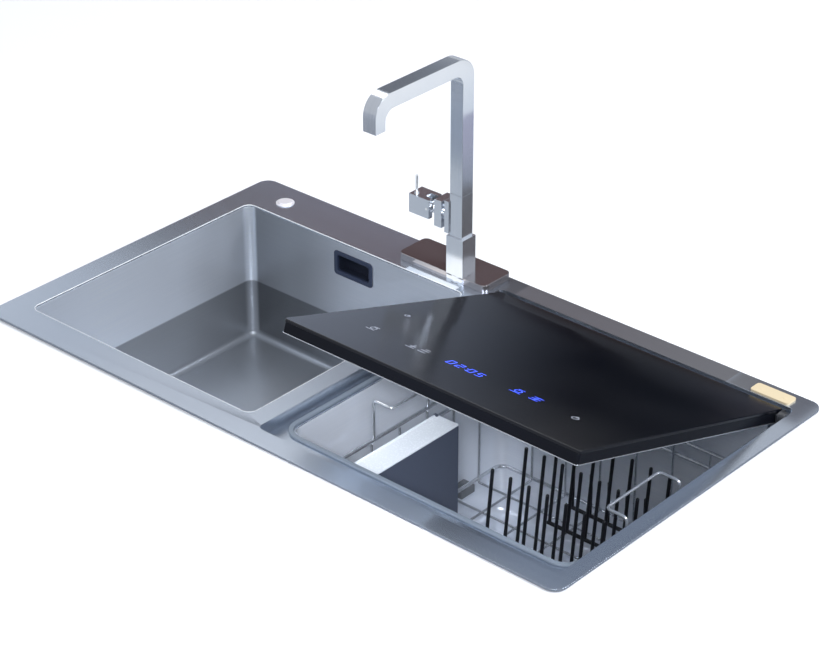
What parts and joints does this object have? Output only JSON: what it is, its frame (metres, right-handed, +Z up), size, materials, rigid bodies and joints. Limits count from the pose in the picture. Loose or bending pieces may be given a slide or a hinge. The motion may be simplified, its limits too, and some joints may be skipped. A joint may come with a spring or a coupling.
{
  "type": "dishwasher sink unit",
  "caption": "Drop-in stainless sink unit with a square bowl and tap on the left and a dishwasher under a dark glass top lid on the right, drawn with the lid partly open.",
  "frame": {"origin": "centre of the deck in plan, at the underside of the rim seal, which lies on the worktop", "axes": "+X to the right along the deck's width (bowl on the left, dishwasher on the right), +Y from the front edge to the back edge, +Z up"},
  "size_m": [0.9, 0.495, 0.753],
  "materials": {
    "deck_steel": "brushed stainless steel, grain along the width",
    "bowl_steel": "brushed stainless steel, fine grain",
    "polished_steel": "bright stainless steel",
    "casing_steel": "zinc-coated sheet, satin",
    "tap_steel": "satin stainless steel, fine brushed",
    "chrome_plate": "polished chrome",
    "brass_nut": "plain machined",
    "motor_alloy": "cast, satin",
    "rack_wire": "bright drawn wire",
    "tine_coat": "dark nylon-coated wire",
    "black_rubber": "matt",
    "seal_rubber": "grey, matt",
    "seal_foam": "closed-cell foam strip",
    "pad_rubber": "matt",
    "dark_plastic": "moulded, matt",
    "grey_plastic": "moulded, satin",
    "white_plastic": "moulded, satin",
    "box_plastic": "moulded, dark grey",
    "basket_plastic": "moulded, glossy white",
    "cover_plastic": "moulded, pale sand",
    "lid_glass": "tempered glass, back-printed near black, glossy",
    "lid_trim": "moulded ABS frame, dark, satin",
    "hinge_metal": "dark coated steel",
    "board_green": "fibreglass board"
  },
  "bodies": {
    "sink_unit": {"deck": "deck_steel", "rim_seal": "seal_foam", "sink_bowl": "bowl_steel", "bowl_pads": "pad_rubber", "overflow_cover": "dark_plastic", "overflow_pipe": "dark_plastic", "waste_body": "polished_steel", "waste_tail": "white_plastic", "drain_actuator": "chrome_plate", "tap_plate": "tap_steel", "tap_body": "tap_steel", "tap_nut": "brass_nut", "mixer_flange": "tap_steel", "mixer_bar": "tap_steel", "mixer_cartridge": "white_plastic", "wash_tub": "bowl_steel", "lid_gasket": "seal_rubber", "casing_wrap": "casing_steel", "casing_back": "casing_steel", "base_tray": "dark_plastic", "sump": "dark_plastic", "tub_filter": "polished_steel", "spray_hub": "dark_plastic", "pump_housing": "white_plastic", "pump_motor": "motor_alloy", "flow_heater": "polished_steel", "wash_pipes": "black_rubber", "drain_pump": "white_plastic", "drain_motor": "motor_alloy", "drain_tail": "grey_plastic", "inlet_valve": "white_plastic", "control_box": "white_plastic", "control_board": "board_green", "cable_gland": "dark_plastic", "rack_frame": "rack_wire", "rack_tines": "tine_coat", "rack_rests": "grey_plastic", "cutlery_box": "box_plastic", "hinge_brackets": "hinge_metal", "hinge_pins": "polished_steel", "hinge_cover": "cover_plastic", "rim_clips": "casing_steel"},
    "tap_spout": {"tap_spout": "tap_steel", "tap_aerator": "chrome_plate"},
    "mixer_collar": {"mixer_collar": "chrome_plate"},
    "mixer_handle": {"mixer_handle": "tap_steel", "mixer_pin": "chrome_plate", "mixer_lever": "chrome_plate"},
    "drain_button": {"drain_button": "chrome_plate"},
    "waste_plug": {"waste_plug": "polished_steel"},
    "spray_arm": {"spray_arm": "grey_plastic"},
    "wash_impeller": {"pump_impeller": "grey_plastic"},
    "drain_impeller": {"drain_impeller": "grey_plastic"},
    "leak_float": {"leak_float": "white_plastic"},
    "cutlery_lid": {"cutlery_lid": "basket_plastic"},
    "glass_lid": {"lid_glass": "lid_glass", "lid_frame": "lid_trim", "lid_panel": "polished_steel", "touch_board": "board_green"}
  },
  "joints": [
    {"name": "lid_hinge", "type": "hinge", "parent": "sink_unit", "child": "glass_lid", "pos_m": [0.206, 0.2005, -0.0007], "axis": [-1, 0, 0], "range_deg": [-18, 52]},
    {"name": "spout_swivel", "type": "hinge", "parent": "sink_unit", "child": "tap_spout", "pos_m": [-0.066, 0.2025, 0.127], "axis": [0, 0, 1], "range_deg": [-70, 15]},
    {"name": "mixer_turn", "type": "hinge", "parent": "sink_unit", "child": "mixer_collar", "pos_m": [-0.113, 0.2025, 0.093], "axis": [1, 0, 0], "range_deg": [-45, 45]},
    {"name": "mixer_tilt", "type": "hinge", "parent": "mixer_collar", "child": "mixer_handle", "pos_m": [-0.113, 0.2025, 0.093], "axis": [0, 1, 0], "range_deg": [0, 18]},
    {"name": "button_press", "type": "slide", "parent": "sink_unit", "child": "drain_button", "axis": [0, 0, -1], "range_m": [0, 0.005]},
    {"name": "plug_lift", "type": "slide", "parent": "sink_unit", "child": "waste_plug", "axis": [0, 0, 1], "range_m": [0, 0.01]},
    {"name": "spray_spin", "type": "hinge", "parent": "sink_unit", "child": "spray_arm", "pos_m": [0.20975, 0.008, -0.27], "axis": [0, 0, 1], "continuous": true},
    {"name": "wash_spin", "type": "hinge", "parent": "sink_unit", "child": "wash_impeller", "pos_m": [0.31, 0.008, -0.372], "axis": [1, 0, 0], "continuous": true},
    {"name": "drain_spin", "type": "hinge", "parent": "sink_unit", "child": "drain_impeller", "pos_m": [0.108, 0.008, -0.372], "axis": [1, 0, 0], "continuous": true},
    {"name": "float_rise", "type": "slide", "parent": "sink_unit", "child": "leak_float", "axis": [0, 0, 1], "range_m": [0, 0.006]},
    {"name": "cutlery_hinge", "type": "hinge", "parent": "sink_unit", "child": "cutlery_lid", "pos_m": [0.0617, -0.0753, -0.056], "axis": [0, -1, 0], "range_deg": [0, 90]}
  ],
  "couplings": [
    {"joint": "plug_lift", "follows": "button_press", "ratio": 2}
  ]
}
